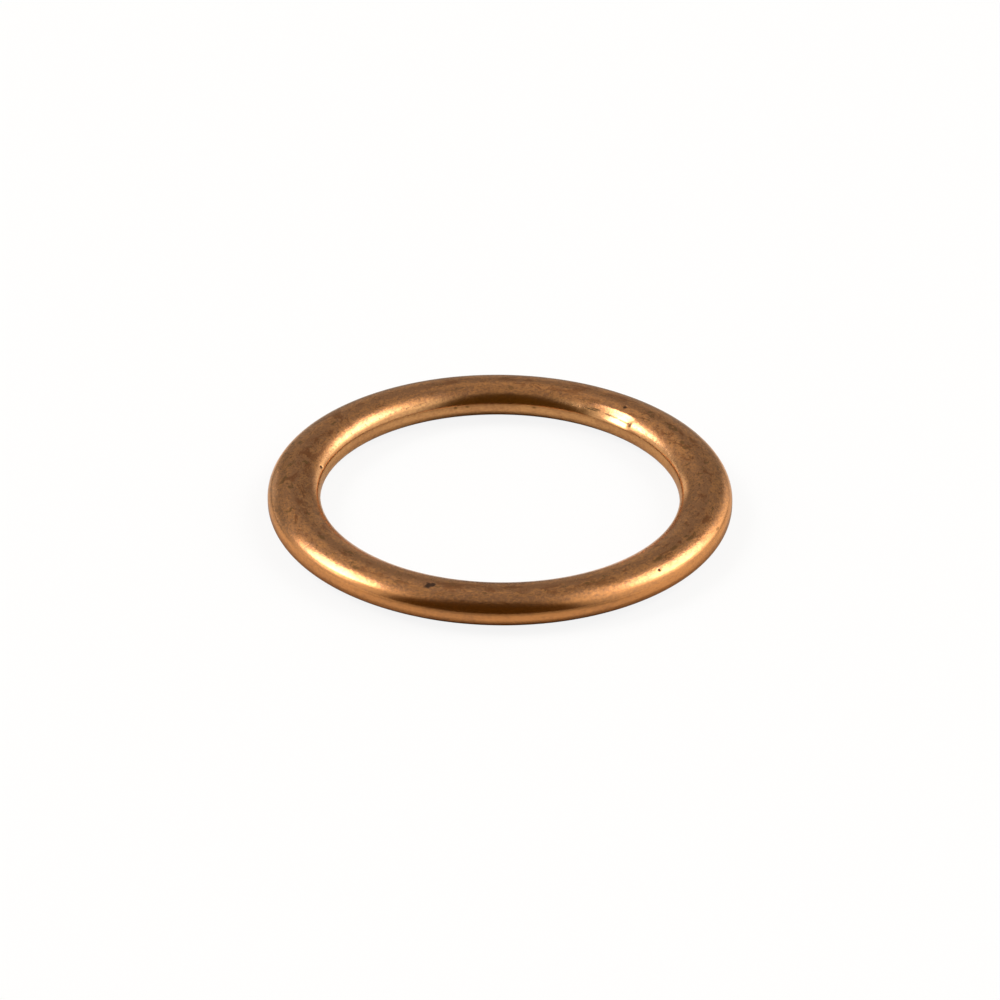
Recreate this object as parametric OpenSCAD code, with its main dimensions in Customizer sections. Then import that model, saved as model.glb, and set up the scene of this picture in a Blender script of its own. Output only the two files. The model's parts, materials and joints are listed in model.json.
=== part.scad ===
// Crush washer: a hollow ring rolled from one strip of copper sheet.
// The origin is the centre of the underside and Z is the ring's axis. Sizes are in millimetres.

/* [Ring] */
// Outside diameter, over the rim
outer_d = 26; // [18:0.5:40]
// Height from seat to seat, before the ring is crushed
height = 2; // [1.8:0.05:2.6]

/* [Section] */
// Width of the rolled section, from the rim to the bore
section_w = 2.95; // [2.4:0.05:3.8]
// Outside radius of the bends at the rim and at the bore
bend_r = 0.65; // [0.5:0.05:0.75]
// Height of the straight band at the rim and at the bore
band_h = 0.2; // [0.1:0.02:0.3]
// Width of the flat seat on the top and on the underside
seat_w = 0.15; // [0.1:0.05:0.5]

/* [Sheet] */
// Thickness of the copper sheet
sheet_t = 0.4; // [0.2:0.05:0.45]
// Gap where the two edges of the rolled sheet face each other
seam_gap = 0.15; // [0.05:0.05:0.3]
// Direction that the outer face of the sheet has at the seam: 180 faces the bore, 270 straight down
seam_direction = 250; // [240:1:265]

/* [Hidden] */
copper = [0.72, 0.44, 0.26];
// Number of facets shown on each circle and round the ring
$fn = 180;

// Diameter of the bore that the screw passes through
bore_d = outer_d - 2 * section_w;
// Radius of the circle that the middle of the section runs along
mean_r = (outer_d + bore_d) / 4;

half_w = section_w / 2;
half_h = height / 2;
half_seat = seat_w / 2;
half_band = band_h / 2;

// Centre of a bend, measured from the middle of the section
bend_x = half_w - bend_r;
// Radius of the crown that runs from a seat to a bend and is tangent to both
crown_run = bend_x - half_seat;
crown_rise = half_h - half_band;
crown_r = (crown_run ^ 2 + crown_rise ^ 2 - bend_r ^ 2) / (2 * (crown_rise - bend_r));
// Height of a crown's centre: the upper crowns turn about a point below the middle of the section
crown_z = half_h - crown_r;
// Share of a bend's radius that lies outside the bend's centre where the crown joins it
join_share = crown_run / (crown_r - bend_r);
// How far the tool that cuts the seam stands clear of the sheet on both of its sides
cut_margin = sheet_t / 4;

// One half of the rolled section, at a depth below the sheet's outer face.
// Every arc keeps its centre at every depth, so the sheet has the same thickness all round.
module half_outline(depth) {
    // Bends above and below the straight band
    for (side = [-1, 1])
        translate([bend_x, side * half_band])
            circle(bend_r - depth);
    // Straight band
    translate([0, -half_band])
        square([half_w - depth, band_h]);
    // Crowns, where the arcs that come down from the upper seat and up from the lower one meet
    join_x = bend_x + join_share * (bend_r - depth);
    intersection() {
        translate([half_seat, crown_z])
            circle(crown_r - depth);
        translate([half_seat, -crown_z])
            circle(crown_r - depth);
        translate([half_seat, -half_h])
            square([join_x - half_seat, height]);
    }
    // Seats
    translate([0, depth - half_h])
        square([half_seat, height - 2 * depth]);
}

module outline(depth) {
    half_outline(depth);
    mirror([1, 0])
        half_outline(depth);
}

// Slot between the sheet's two edges, cut square through the lower crown beside the bore
module seam() {
    translate([-half_seat, -crown_z])
        rotate(seam_direction)
            translate([crown_r - sheet_t - cut_margin, -seam_gap / 2])
                square([sheet_t + 2 * cut_margin, seam_gap]);
}

// The sheet rolled round to an open tube, as it is cut across
module rolled_section() {
    difference() {
        outline(0);
        outline(sheet_t);
        seam();
    }
}

module crush_washer() {
    color(copper)
        translate([0, 0, half_h])
            rotate_extrude()
                translate([mean_r, 0])
                    rolled_section();
}

crush_washer();
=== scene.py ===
import json
import math
from collections import namedtuple

import bpy
from mathutils import Matrix, Quaternion, Vector


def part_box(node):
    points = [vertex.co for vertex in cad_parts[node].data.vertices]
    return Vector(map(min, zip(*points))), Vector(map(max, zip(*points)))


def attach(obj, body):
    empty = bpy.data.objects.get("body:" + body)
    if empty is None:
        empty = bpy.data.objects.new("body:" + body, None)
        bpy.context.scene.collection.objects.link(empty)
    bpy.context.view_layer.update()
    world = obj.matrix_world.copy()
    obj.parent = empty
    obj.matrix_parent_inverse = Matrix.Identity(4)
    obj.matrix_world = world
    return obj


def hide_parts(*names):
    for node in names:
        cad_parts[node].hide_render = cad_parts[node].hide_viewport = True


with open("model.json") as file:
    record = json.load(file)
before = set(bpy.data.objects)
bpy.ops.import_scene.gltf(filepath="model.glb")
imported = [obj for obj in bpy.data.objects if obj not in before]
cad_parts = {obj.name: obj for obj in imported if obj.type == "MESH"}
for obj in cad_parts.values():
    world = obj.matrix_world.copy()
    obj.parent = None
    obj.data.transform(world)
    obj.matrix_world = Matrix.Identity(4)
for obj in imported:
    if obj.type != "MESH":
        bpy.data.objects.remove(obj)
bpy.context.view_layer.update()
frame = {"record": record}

MM = 0.001

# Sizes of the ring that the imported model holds
washer_low, washer_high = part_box("crush_washer")
bore = next(mount for mount in frame["record"]["mounts"] if mount["name"] == "bore")
rim_r = washer_high.x
bore_r = bore["dims"]["r_mm"] * MM
half_band = bore["dims"]["length_mm"] * MM / 2
half_h = (washer_high.z - washer_low.z) / 2
half_w = (rim_r - bore_r) / 2
mean_r = (rim_r + bore_r) / 2

# Sizes of the rolled section
bend_r = 0.65 * MM
half_seat = 0.075 * MM
sheet_t = 0.4 * MM
seam_gap = 0.15 * MM
seam_direction = 250
lip_bevel = 0.03 * MM
lip_angle = 50

# Arcs of the section, measured from its middle
bend_x = half_w - bend_r
crown_run = bend_x - half_seat
crown_rise = half_h - half_band
crown_r = (crown_run ** 2 + crown_rise ** 2 - bend_r ** 2) / (2 * (crown_rise - bend_r))
crown_drop = crown_r - half_h
# Direction of the sheet's face where a crown runs into a bend
join = math.degrees(math.atan2(half_band + crown_drop, crown_run))

# Fineness of the mesh
outside_face = 0.074 * MM
inside_face = 0.36 * MM
wedges = 20
wedge_steps = 31
merge_distance = 0.001 * MM
sharp_angle = 40

# Unevenness of the rolled sheet
ripple_length = 1.6 * MM
ripple_depth = 0.006 * MM

Arc = namedtuple("Arc", "centre radius degrees")
Line = namedtuple("Line", "step")
# A mark lies at an angle round the ring, where the face looks 0 to the rim, 90 up or 180 to the bore
Mark = namedtuple("Mark", "ring section length width depth")

# Pits in the face, in degrees and metres
pits = [
    Mark(-108.9, 82.2, 0.54 * MM, 0.62 * MM, 0.06 * MM),
    Mark(-108.0, 85.2, 0.52 * MM, 0.42 * MM, 0.02 * MM),
    Mark(168.5, 133, 0.34 * MM, 0.20 * MM, 0.05 * MM),
    Mark(50.3, 100.5, 0.30 * MM, 0.30 * MM, 0.04 * MM),
    Mark(-46, 59.5, 0.22 * MM, 0.22 * MM, 0.03 * MM),
]

# Smudges and scuffs that lie flat on the face
smudges = [
    Mark(-130, 71.5, 0.50 * MM, 0.30 * MM, 0),
    Mark(-135.8, 92.5, 0.60 * MM, 0.24 * MM, 0),
    Mark(-147, 88.5, 0.80 * MM, 0.30 * MM, 0),
    Mark(159.8, 60.5, 0.30 * MM, 0.34 * MM, 0),
    Mark(165.2, 61, 0.24 * MM, 0.34 * MM, 0),
    Mark(-43.5, 79, 1.10 * MM, 0.30 * MM, 0),
    Mark(-36.5, 81, 0.90 * MM, 0.26 * MM, 0),
    Mark(-29.5, 76, 1.00 * MM, 0.26 * MM, 0),
    Mark(-19.5, 48, 0.50 * MM, 0.16 * MM, 0),
    Mark(-0.8, 100, 0.50 * MM, 0.12 * MM, 0),
    Mark(5.2, 96.5, 0.16 * MM, 0.50 * MM, 0),
    Mark(12, 112.5, 0.16 * MM, 0.40 * MM, 0),
    Mark(11.5, 134.5, 0.12 * MM, 0.24 * MM, 0),
    Mark(105, 180, 0.30 * MM, 0.20 * MM, 0),
    Mark(101, 180, 0.36 * MM, 0.18 * MM, 0),
    Mark(79, 180, 0.30 * MM, 0.18 * MM, 0),
    Mark(23.8, 97.5, 0.50 * MM, 0.30 * MM, 0),
    Mark(20.8, 100.5, 0.50 * MM, 0.24 * MM, 0),
]

# Scratches across the flattened stretch
scratches = [
    Mark(52.4, 128, 1.30 * MM, 0.16 * MM, 0),
    Mark(47.2, 131, 1.30 * MM, 0.16 * MM, 0),
    Mark(44.2, 133, 0.34 * MM, 0.30 * MM, 0),
    Mark(58.5, 125, 0.90 * MM, 0.10 * MM, 0),
    Mark(59.5, 130, 1.00 * MM, 0.10 * MM, 0),
]

# A stretch of the bore's upper wall that a tool has pressed flat, in degrees
flat_from, flat_to = 43.5, 63
flat_from_end, flat_to_end = 2.6, 10.0
flat_top, flat_foot = 114, 168
flat_looks = 133
# Way that the face looks along the tool mark on the bore's upper wall
tool_looks = 131.5


def on_circle(degrees, radius):
    """The step across the section from a circle's centre to its edge."""
    angle = math.radians(degrees)
    return Vector((radius * math.cos(angle), 0, radius * math.sin(angle)))


def in_section(x, z):
    """A point of the section where it is drawn, on the ring's +X side."""
    return Vector((mean_r + x, 0, half_h + z))


def crown_centre(side, rise):
    return in_section(side * half_seat, -rise * crown_drop)


def bend_centre(side, rise):
    return in_section(side * bend_x, rise * half_band)


def face_point(mark):
    """The outer face at a mark: its point, and its directions along the ring, across and outwards."""
    looks = on_circle(mark.section, 1)
    side = math.copysign(1, looks.x)
    rise = math.copysign(1, looks.z)
    if abs(looks.z) > math.sin(math.radians(join)):
        point = crown_centre(side, rise) + crown_r * looks
    else:
        point = bend_centre(side, rise) + bend_r * looks
    turn = Matrix.Rotation(math.radians(mark.ring), 3, "Z")
    along = turn @ Vector((0, 1, 0))
    outwards = turn @ looks
    return turn @ point, along, along.cross(outwards), outwards


# The rolled section, drawn in edit mode: one selected vertex is the pen

def put_pen_down(name, place):
    bpy.ops.object.select_all(action="DESELECT")
    bpy.ops.mesh.primitive_plane_add(size=sheet_t)
    piece = bpy.context.active_object
    piece.name = name
    piece.data.name = name
    bpy.ops.object.mode_set(mode="EDIT")
    bpy.ops.mesh.merge(type="CENTER")
    bpy.ops.transform.translate(value=place)
    return piece


def draw_line(step, steps=1):
    for _ in range(steps):
        bpy.ops.mesh.extrude_vertices_move(TRANSFORM_OT_translate={"value": step / steps})


def draw_arc(arc, degrees, steps):
    bpy.ops.mesh.spin(steps=steps, angle=math.radians(degrees), center=arc.centre, axis=(0, 1, 0))


def sheet_path(start, end):
    """Arcs and lines of the sheet's face, from its edge at the seam round to its other edge."""
    inner, outer, lower, upper = -1, 1, -1, 1
    seat = Vector((2 * half_seat, 0, 0))
    band = Vector((0, 0, 2 * half_band))

    def crown(side, rise, degrees):
        return Arc(crown_centre(side, rise), crown_r, degrees)

    def bend(side, rise):
        return Arc(bend_centre(side, rise), bend_r, join)

    return [
        crown(inner, lower, 270 - start),
        Line(seat),
        crown(outer, lower, 90 - join),
        bend(outer, lower),
        Line(band),
        bend(outer, upper),
        crown(outer, upper, 90 - join),
        Line(-seat),
        crown(inner, upper, 90 - join),
        bend(inner, upper),
        Line(-band),
        bend(inner, lower),
        crown(inner, lower, end - 180 - join),
    ]


def follow(path, depth, face):
    """Draws a path at a depth below the sheet's outer face, with faces of about this length."""
    for part in path:
        if isinstance(part, Line):
            draw_line(part.step, max(1, round(part.step.length / face)))
        else:
            length = math.radians(abs(part.degrees)) * (part.radius - depth)
            draw_arc(part, part.degrees, max(1, round(length / face)))


def turned_back(path):
    """The same path, drawn from its end to its start."""
    back = []
    for part in reversed(path):
        if isinstance(part, Line):
            back.append(Line(-part.step))
        else:
            back.append(part._replace(degrees=-part.degrees))
    return back


def seam_edge(depth, side):
    """Direction of one edge of the sheet from the centre of its crown, at a depth below the outer face."""
    return seam_direction + side * math.degrees(math.asin(seam_gap / 2 / (crown_r - depth)))


def seam_corner(depth, side):
    return crown_centre(-1, -1) + on_circle(seam_edge(depth, side), crown_r - depth)


def spin_round(steps, turned_wedges, **settings):
    """Spins what is selected round the ring's axis, through a number of wedges."""
    angle = 2 * math.pi * turned_wedges / wedges
    bpy.ops.mesh.spin(steps=steps, angle=angle, center=(0, 0, 0), axis=(0, 0, 1), **settings)


def rolled_ring():
    """Draws the sheet's section, spins it to one wedge of the ring and copies the wedge round."""
    ring = put_pen_down("copper_ring", seam_corner(0, 1))
    follow(sheet_path(seam_edge(0, 1), seam_edge(0, -1)), 0, outside_face)
    draw_line(seam_corner(sheet_t, -1) - seam_corner(0, -1))
    inside = sheet_path(seam_edge(sheet_t, 1), seam_edge(sheet_t, -1))
    follow(turned_back(inside), sheet_t, inside_face)
    draw_line(seam_corner(0, 1) - seam_corner(sheet_t, 1))
    bpy.ops.mesh.select_all(action="SELECT")
    bpy.ops.mesh.remove_doubles(threshold=merge_distance)
    spin_round(wedge_steps, 1)
    bpy.ops.mesh.select_all(action="SELECT")
    spin_round(wedges - 1, wedges - 1, dupli=True)
    bpy.ops.mesh.select_all(action="SELECT")
    bpy.ops.mesh.remove_doubles(threshold=merge_distance)
    bpy.ops.mesh.normals_make_consistent(inside=False)
    bpy.ops.object.mode_set(mode="OBJECT")
    return ring


def finish_with(piece, kind, **settings):
    """Adds a modifier with these settings and applies it."""
    modifier = piece.modifiers.new(kind.lower(), kind)
    for name, value in settings.items():
        setattr(modifier, name, value)
    bpy.context.view_layer.objects.active = piece
    bpy.ops.object.modifier_apply(modifier=modifier.name)


def pit_depth(place, pit, point, along, across):
    """How far a pit presses this place in, deepest in its middle."""
    offset = place - point
    if offset.length > pit.length + pit.width:
        return 0
    share = math.hypot(offset.dot(along) / pit.length, offset.dot(across) / pit.width) * 2
    return pit.depth * max(0, 1 - share ** 2)


def flat_depth(place):
    """How far the flattened stretch of the wall lies below the round one at this place."""
    ring_angle = math.degrees(math.atan2(place.y, place.x))
    ends = min((ring_angle - flat_from) / flat_from_end, (flat_to - ring_angle) / flat_to_end, 1)
    if ends < 0:
        return 0
    top = face_point(Mark(ring_angle, flat_top, 0, 0, 0))[0]
    foot = face_point(Mark(ring_angle, flat_foot, 0, 0, 0))[0]
    outwards = face_point(Mark(ring_angle, flat_looks, 0, 0, 0))[3]
    height = (place - top).dot(outwards)
    if not foot.z < place.z < top.z or abs(height) > sheet_t / 2:
        return 0
    return max(0, height) * ends


def press_dents(ring):
    """Presses the pits and the flattened stretch into the outer face."""
    pressed = [(pit, *face_point(pit)[:3]) for pit in pits]
    depths = {}
    for vertex in ring.data.vertices:
        depth = max(pit_depth(vertex.co, *pit) for pit in pressed) + flat_depth(vertex.co)
        if depth > 0:
            depths[vertex.index] = depth
    deepest = max(depths.values())
    group = ring.vertex_groups.new(name="dents")
    for index, depth in depths.items():
        group.add([index], depth / deepest, "REPLACE")
    finish_with(ring, "DISPLACE", strength=-deepest, mid_level=0, vertex_group=group.name)


def ripple_sheet(ring):
    """Lets the rolled sheet dip a little between its high places."""
    ripples = bpy.data.textures.new("ripples", "CLOUDS")
    ripples.noise_scale = ripple_length
    settings = {"texture": ripples, "texture_coords": "LOCAL", "mid_level": 1}
    finish_with(ring, "DISPLACE", strength=ripple_depth, **settings)


# Copper's finish

class Wire:
    """One output of a node. A sum of wires and numbers adds its Math nodes."""

    def __init__(self, finish, socket):
        self.finish = finish
        self.socket = socket

    def beside(self, output):
        """Another output of the same node."""
        return Wire(self.finish, self.socket.node.outputs[output])

    def math(self, operation, first, second):
        return self.finish.node("ShaderNodeMath", {"operation": operation}, {0: first, 1: second})

    def __add__(self, other):
        return self.math("ADD", self, other)

    def __radd__(self, other):
        return self.math("ADD", other, self)

    def __sub__(self, other):
        return self.math("SUBTRACT", self, other)

    def __rsub__(self, other):
        return self.math("SUBTRACT", other, self)

    def __mul__(self, other):
        return self.math("MULTIPLY", self, other)

    def __rmul__(self, other):
        return self.math("MULTIPLY", other, self)

    def __truediv__(self, other):
        return self.math("DIVIDE", self, other)

    def __pow__(self, other):
        return self.math("POWER", self, other)

    def __abs__(self):
        return self.math("ABSOLUTE", self, 0)

    def over(self, other):
        """The greater of two values."""
        return self.math("MAXIMUM", self, other)

    def step(self, low, high):
        """0 below low and 1 above high, smooth between them."""
        sockets = {"Value": self, "From Min": low, "From Max": high}
        return self.finish.node("ShaderNodeMapRange", {"interpolation_type": "SMOOTHSTEP"}, sockets)


class Finish:
    """The nodes of one material or of the room."""

    def __init__(self, tree):
        self.tree = tree
        self.tree.nodes.clear()

    def node(self, kind, settings=None, sockets=None, output=0):
        """Adds a node, sets its settings, then the values or links of its sockets."""
        made = self.tree.nodes.new(kind)
        for name, value in (settings or {}).items():
            setattr(made, name, value)
        for name, value in (sockets or {}).items():
            if isinstance(value, Wire):
                self.tree.links.new(value.socket, made.inputs[name])
            else:
                made.inputs[name].default_value = value
        return Wire(self, made.outputs[output]) if made.outputs else None

    def blend(self, share, first, second):
        """A colour between two, by a share."""
        return self.node("ShaderNodeMix", {"data_type": "RGBA"}, {0: share, 6: first, 7: second}, 2)

    def dot(self, first, second):
        settings = {"operation": "DOT_PRODUCT"}
        return self.node("ShaderNodeVectorMath", settings, {0: first, 1: second}, "Value")

    def noise(self, place, size, detail=3.0, roughness=0.55, twist=0.0):
        """Noise from 0 to 1 with grains of about this size in millimetres, at a place with four axes."""
        vector, fourth = place
        sockets = {
            "Vector": vector,
            "W": fourth,
            "Scale": 1 / size,
            "Detail": detail,
            "Roughness": roughness,
            "Distortion": twist,
        }
        return self.node("ShaderNodeTexNoise", {"noise_dimensions": "4D"}, sockets)


bore_wall_copper = (0.58, 0.295, 0.115, 1)
orange_copper = (0.56, 0.245, 0.084, 1)
brown_tarnish = (0.350, 0.160, 0.070, 1)
painted_shade_brown = (0.24, 0.114, 0.050, 1)
red_stain = (0.24, 0.085, 0.028, 1)
olive_stain = (0.19, 0.092, 0.030, 1)
pepper_brown = (0.15, 0.060, 0.022, 1)
grazing_tint = (0.85, 0.77, 0.68, 1)
scratch_brown = (0.09, 0.048, 0.018, 1)
dark_dirt = (0.03, 0.017, 0.012, 1)


# Ring angle of the middle of the painted shade on the lower left rim, in degrees
painted_shade_at = -170

# Heights of the relief, in millimetres
line_height = 0.0020
mottle_height = 0.014
speck_dip = 0.002
pit_dip = 0.008
wall_lean = 0.06


def copper_material():
    material = bpy.data.materials.new("rolled_copper")
    material.use_nodes = True
    finish = Finish(material.node_tree)

    # Place on the ring, in millimetres: towards the rim, up from the middle, and the way round
    place = finish.node("ShaderNodeTexCoord", output="Object")
    x = finish.node("ShaderNodeSeparateXYZ", sockets={0: place})
    y = x.beside("Y")
    radius = (x * x + y * y) ** 0.5
    rimwards = (radius - mean_r) * (1 / MM)
    rise = (x.beside("Z") - half_h) * (1 / MM)
    way_x = x / radius
    way_y = y / radius

    def drawn_out(stretch):
        """A place for noise whose grains are drawn out along the ring by a stretch."""
        reach = mean_r / MM / stretch
        sockets = {0: way_x * reach, 1: way_y * reach, 2: rimwards}
        return finish.node("ShaderNodeCombineXYZ", sockets=sockets), rise

    # Parts of the section and of the ring
    crown = rise.step(0.45, 0.85)
    crest = rise.step(0.80, 0.98)
    wall = (rimwards * -1).step(0.95, 1.25)
    sides = (way_x * way_x).step(0.25, 0.85)
    seat_line = 1 - abs(rimwards).step(0.10, 0.42)
    # Painted shade: the lower outer wall at the left is painted browner, to darken its reflections there
    painted_shade_way = math.radians(painted_shade_at)
    left_side = way_x * math.cos(painted_shade_way) + way_y * math.sin(painted_shade_way)
    left_rim_painted_shade = left_side.step(0.93, 0.985) * rimwards.step(0.80, 1.05) * rise.step(0.25, 0.55)

    # Tarnish in clouds with a fine mottling, and stains that are heaviest on the crest and at the sides
    round_grain = drawn_out(1.5)
    clouds = finish.noise(drawn_out(3.0), 1.7).step(0.36, 0.66)
    mottle = finish.noise(round_grain, 0.42, 4.0, 0.7) - 0.5
    grit = finish.noise(round_grain, 0.13, 2.0, 0.6) - 0.5
    blotches = finish.noise(drawn_out(2.2), 0.85, 5.0, 0.75, 1.2).step(0.52, 0.60)
    specks = finish.noise(drawn_out(1.8), 0.40, 3.0, 0.65, 1.0).step(0.58, 0.66)
    grain = 1.8 * mottle + 3.2 * grit
    tarnish = crown * (0.35 + 0.40 * seat_line) + (0.40 + 0.05 * crown) * clouds
    tarnish = tarnish + (0.55 + 0.45 * crown) * grain
    red_share = blotches * (0.12 + crown * (0.16 + 0.40 * crest + 0.20 * sides))
    pepper = finish.noise(round_grain, 0.10, 1.0).step(0.58, 0.68) * crown * (0.28 + 0.30 * sides)
    olive_share = crown * specks * (0.40 + 0.35 * crest + 0.15 * sides)

    # Fine lines along the ring, and a speckled tool mark along the bore's upper wall
    lines = finish.noise(drawn_out(40.0), 0.09, 2.0, 0.6)
    worn = finish.noise(drawn_out(2.0), 2.4, 2.0).step(0.40, 0.66)
    tool_point = face_point(Mark(0, tool_looks, 0, 0, 0))[0]
    tool_x = (tool_point.x - mean_r) / MM
    tool_z = (tool_point.z - half_h) / MM
    off_x = rimwards - tool_x
    off_z = rise - tool_z
    tool_track = 1 - ((off_x * off_x + off_z * off_z) ** 0.5).step(0.02, 0.09)
    tool_end = (1 - way_y.step(0.93, 0.97)) * (1 - (way_x * way_x).step(0.93, 0.99))
    tool_specks = tool_track * tool_end * finish.noise(drawn_out(1.2), 0.13, 1.0).step(0.52, 0.60)

    # Pits and smudges
    ragged = (finish.noise(drawn_out(1.0), 0.16, 1.0) - 0.5) * 0.9

    def spot(mark):
        point, along, across, outwards = face_point(mark)
        offset = finish.node("ShaderNodeVectorMath", {"operation": "SUBTRACT"}, {0: place, 1: point})
        ahead = finish.dot(offset, along) * (2 / mark.length)
        aside = finish.dot(offset, across) * (2 / mark.width)
        depth = finish.dot(offset, outwards) * (1 / sheet_t)
        reach = (ahead * ahead + aside * aside + depth * depth) ** 0.5
        return 1 - (reach + ragged).step(0.45, 1.1)

    def all_spots(marks):
        covered = spot(marks[0])
        for mark in marks[1:]:
            covered = covered.over(spot(mark))
        return covered

    hole = all_spots(pits)
    smudge = all_spots(smudges)
    scratch = all_spots(scratches)

    # Colour
    # The bore's wall has a lighter, yellower copper colour than the rest
    colour = finish.blend(wall, orange_copper, bore_wall_copper)
    colour = finish.blend(tarnish, colour, brown_tarnish)
    # Painted shade on the lower left rim
    colour = finish.blend(left_rim_painted_shade * (0.75 + 0.6 * grain), colour, painted_shade_brown)
    colour = finish.blend(red_share, colour, red_stain)
    colour = finish.blend(pepper, colour, pepper_brown)
    colour = finish.blend(olive_share.over(smudge * 0.8), colour, olive_stain)
    colour = finish.blend((scratch * 0.85).over(tool_specks * 0.5), colour, scratch_brown)
    colour = finish.blend(hole * 0.92, colour, dark_dirt)

    # Gloss
    rough = 0.19 + 0.04 * tarnish + 0.06 * olive_share + 0.08 * tool_specks + 0.3 * hole

    # Relief
    relief = lines * worn * line_height + (mottle + grit * 0.25) * (0.4 + 0.6 * crown) * mottle_height
    relief = relief - tool_specks * speck_dip - hole * pit_dip - rise.step(-0.5, 0.45) * wall_lean
    sockets = {"Strength": 1.0, "Distance": MM, "Height": relief}
    bump = finish.node("ShaderNodeBump", sockets=sockets, output="Normal")

    shader = finish.node(
        "ShaderNodeBsdfPrincipled",
        sockets={
            "Base Color": colour,
            "Metallic": 1.0,
            "Roughness": rough,
            "Specular Tint": grazing_tint,
            "Normal": bump,
        },
    )
    finish.node("ShaderNodeOutputMaterial", sockets={"Surface": shader})
    return material


# Studio

ring_centre = Vector((0, 0, half_h))


def towards(azimuth, elevation):
    """Direction from the ring: azimuth 0 is away from the camera and 90 to the camera's right."""
    a = math.radians(azimuth)
    e = math.radians(elevation)
    return Vector((math.sin(a) * math.cos(e), math.cos(a) * math.cos(e), math.sin(e)))


def add_camera():
    elevation = 30.504
    distance = 321.8 * MM
    roll = math.radians(0.589)
    aim = ring_centre - Vector((0, 0, 0.26 * MM))
    data = bpy.data.cameras.new("camera")
    data.sensor_width = 36
    data.lens = 207
    data.clip_start = 0.01
    data.clip_end = 20
    camera = bpy.data.objects.new("camera", data)
    camera.location = ring_centre + towards(180, elevation) * distance
    camera.rotation_mode = "QUATERNION"
    aimed = (aim - camera.location).to_track_quat("-Z", "Y")
    camera.rotation_quaternion = aimed @ Quaternion((0, 0, 1), roll)
    bpy.context.scene.collection.objects.link(camera)
    bpy.context.scene.camera = camera


# A soft lamp's middle, how far it reaches and how far it is at its full light, in degrees, and its radiance
Lamp = namedtuple("Lamp", "azimuth elevation edge heart radiance")
lamps = [
    # Left softbox, with its foot and the glow round it
    Lamp(-73, 44.2, 18, 6, 11.0),
    Lamp(-90, 45, 13, 6, 2.8),
    Lamp(-88, 43.5, 8, 3, 3.5),
    Lamp(-91, 26, 15, 5, 3.0),
    Lamp(-90, 26, 52, 12, 0.9),
    Lamp(-28, 46, 27, 8, 0.30),
    # Right softbox, with the glow round it
    Lamp(67, 42.5, 20, 5, 5.0),
    Lamp(74, 36, 26, 12, 2.0),
    Lamp(88, 28, 56, 15, 1.1),
    Lamp(110, 52, 24, 8, 0.45),
    Lamp(51, 23, 17, 5, 1.2),
    Lamp(70, 62, 14, 4, 0.9),
    # Pale cards low behind the ring
    Lamp(0, 9, 20, 9, 0.26),
    Lamp(-32, 11, 10, 4, 1.4),
    Lamp(-47, 8.5, 7, 3, 1.4),
    Lamp(35, 10, 12, 5, 1.15),
    # Ceiling
    Lamp(0, 68, 50, 20, 0.16),
]
room_level = 0.50
backdrop = (1.0, 1.0, 1.0, 1)
room_tint = (0.80, 0.80, 0.80, 1)
lamp_tint = (0.80, 0.80, 0.92, 1)
dark_side = (0.105, 0.062, 0.008, 1)
# Middle of the dark side, its half width overhead, how fast it widens backwards and how soft its edge is
dark_azimuth = 187.5
dark_width, dark_flare, dark_blur = 0.18, 0.77, 0.11


def add_room():
    """A dim room with soft lamps at both sides, dark behind the camera, and a pale backdrop."""
    world = bpy.data.worlds.new("room")
    world.use_nodes = True
    bpy.context.scene.world = world
    room = Finish(world.node_tree)
    direction = room.node("ShaderNodeTexCoord", output="Generated")

    def within(azimuth, elevation, edge, heart):
        """1 near a direction and 0 far from it, smooth between these angles."""
        near = room.dot(direction, towards(azimuth, elevation))
        return near.step(math.cos(math.radians(edge)), math.cos(math.radians(heart)))

    light = room_level
    for lamp in lamps:
        light = light + within(*lamp[:4]) * lamp.radiance
    tint = room.blend(light.step(1.5, 9.0), room_tint, lamp_tint)
    lit = room.node("ShaderNodeBackground", sockets={"Color": tint, "Strength": light})
    # The dark side runs from the floor to overhead
    backwards = room.dot(direction, towards(dark_azimuth, 0))
    sidewards = abs(room.dot(direction, towards(dark_azimuth + 90, 0)))
    spread = dark_width + dark_flare * backwards - sidewards
    shade = spread.step(-dark_blur, dark_blur) * backwards.step(0, dark_blur)
    dark = room.node("ShaderNodeBackground", sockets={"Color": dark_side})
    behind = room.node("ShaderNodeMixShader", sockets={0: shade, 1: lit, 2: dark})
    pale = room.node("ShaderNodeBackground", sockets={"Color": backdrop})
    seen = room.node("ShaderNodeLightPath", output="Is Camera Ray")
    surroundings = room.node("ShaderNodeMixShader", sockets={0: seen, 1: behind, 2: pale})
    room.node("ShaderNodeOutputWorld", sockets={"Surface": surroundings})


pale_paper = (0.70, 0.67, 0.58, 1)
# Painted light and shade on the floor, seen only in the ring's reflections
lit_paper = (0.66, 0.63, 0.55, 1)
side_painted_light_paper = (0.80, 0.765, 0.665, 1)
shaded_paper = (0.50, 0.46, 0.38, 1)
dim_paper = (0.33, 0.315, 0.27, 1)
paper_glow = 0.88
floor_size = 8
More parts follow.
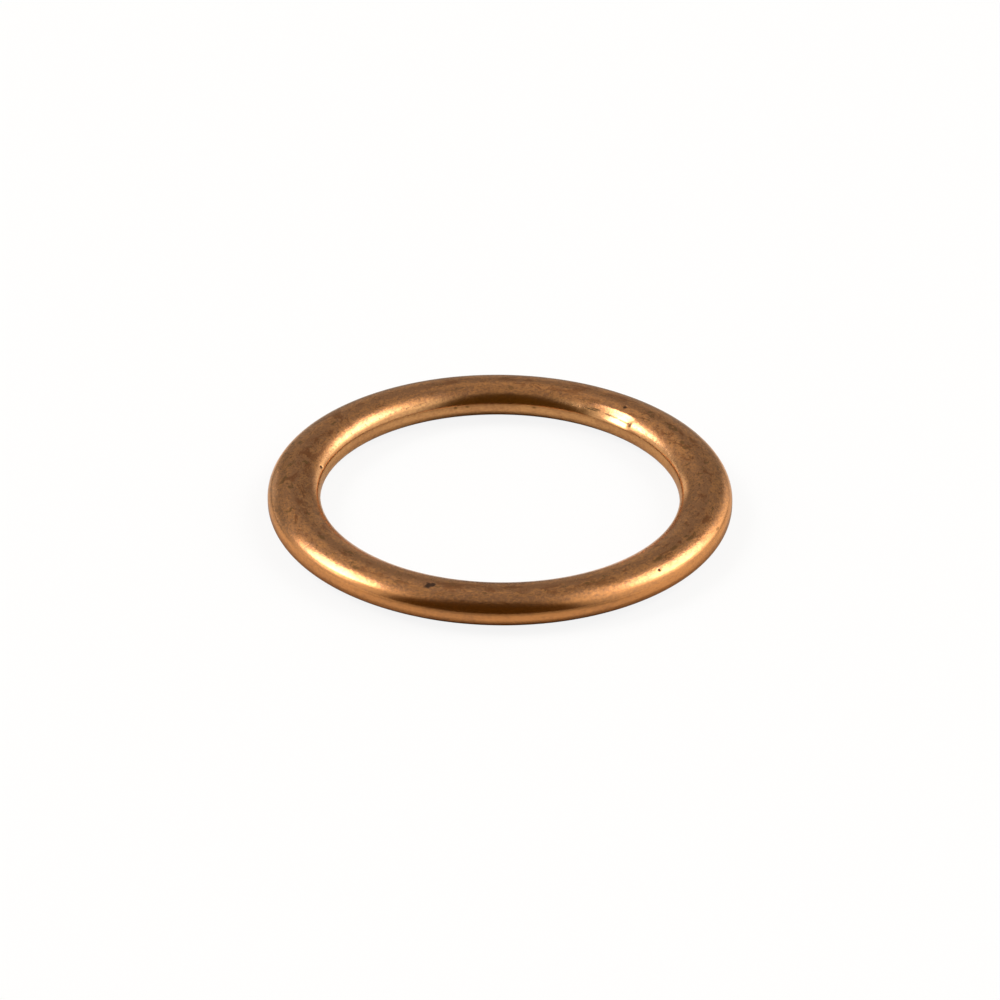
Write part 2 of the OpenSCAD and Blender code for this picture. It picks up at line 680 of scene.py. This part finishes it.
# Distances from the middle of the section at which the mirrored floor is painted shaded, lit and dim again
shaded_to, lit_from = 1.4 * MM, 3.2 * MM
lit_to, dim_from = 3.5 * MM, 7.0 * MM


def add_floor():
    bpy.ops.object.select_all(action="DESELECT")
    bpy.ops.mesh.primitive_plane_add(size=floor_size)
    floor = bpy.context.active_object
    floor.name = "floor"
    material = bpy.data.materials.new("pale_paper")
    material.use_nodes = True
    finish = Finish(material.node_tree)
    paper = finish.node("ShaderNodeBsdfDiffuse", sockets={"Color": pale_paper})
    glow = finish.node("ShaderNodeEmission", sockets={"Strength": 1.0})
    plain = finish.node("ShaderNodeMixShader", sockets={0: paper_glow, 1: paper, 2: glow})
    # The ring mirrors a floor with painted light and shade: shaded beneath the ring and just outside it,
    # lit within the bore, brighter at the sides, and dim farther off in front and behind
    place = finish.node("ShaderNodeTexCoord", output="Object")
    x = finish.node("ShaderNodeSeparateXYZ", sockets={0: place})
    y = x.beside("Y")
    radius = (x * x + y * y) ** 0.5
    away = abs(radius - mean_r)
    ahead = abs(y / radius).step(0.60, 0.88)
    inside = 1 - radius.step(bore_r, mean_r)
    lit = finish.blend(ahead, side_painted_light_paper, lit_paper)
    under = finish.blend(inside, shaded_paper, lit)
    shade = finish.blend(away.step(shaded_to, lit_from), under, lit)
    shade = finish.blend(away.step(lit_to, dim_from) * ahead, shade, dim_paper)
    mirrored = finish.node("ShaderNodeBsdfDiffuse", sockets={"Color": shade})
    seen = finish.node("ShaderNodeLightPath", output="Is Camera Ray")
    surface = finish.node("ShaderNodeMixShader", sockets={0: seen, 1: mirrored, 2: plain})
    finish.node("ShaderNodeOutputMaterial", sockets={"Surface": surface})
    floor.data.materials.append(material)


ring = rolled_ring()
lip_limit = {"limit_method": "ANGLE", "angle_limit": math.radians(lip_angle)}
finish_with(ring, "BEVEL", width=lip_bevel, segments=2, **lip_limit)
ripple_sheet(ring)
press_dents(ring)
bpy.ops.object.select_all(action="DESELECT")
ring.select_set(True)
bpy.ops.object.shade_smooth_by_angle(angle=math.radians(sharp_angle))
ring.data.materials.append(copper_material())
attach(ring, "root")
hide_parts("crush_washer")

add_floor()
add_room()
add_camera()
bpy.context.scene.view_settings.view_transform = "Standard"
